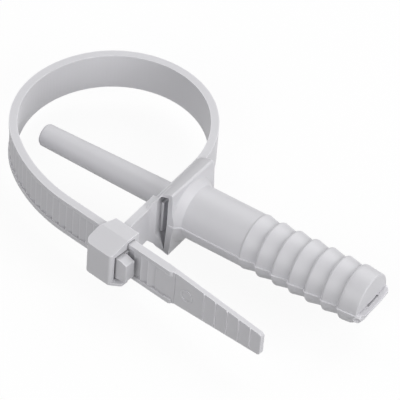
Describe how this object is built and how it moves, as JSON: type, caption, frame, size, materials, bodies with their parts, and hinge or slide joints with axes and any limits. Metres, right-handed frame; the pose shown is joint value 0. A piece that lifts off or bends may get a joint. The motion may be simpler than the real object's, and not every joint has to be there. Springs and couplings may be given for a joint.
{
  "type": "fir tree cable tie",
  "caption": "One-piece moulded cable tie: its buckled strap is closed in a loop on the head of a barbed fir tree wall plug, with a drive pin inside the loop.",
  "frame": {"origin": "on the plug's axis, where the round shank leaves the head's cone", "axes": "+X along the plug towards its tip, the loop in the XY plane with the tail towards -Y, +Z across the strap's width"},
  "size_m": [0.0626, 0.0384, 0.0113],
  "materials": {
    "polyamide": "satin"
  },
  "bodies": {
    "root": {"cable_tie": "polyamide"}
  },
  "joints": []
}
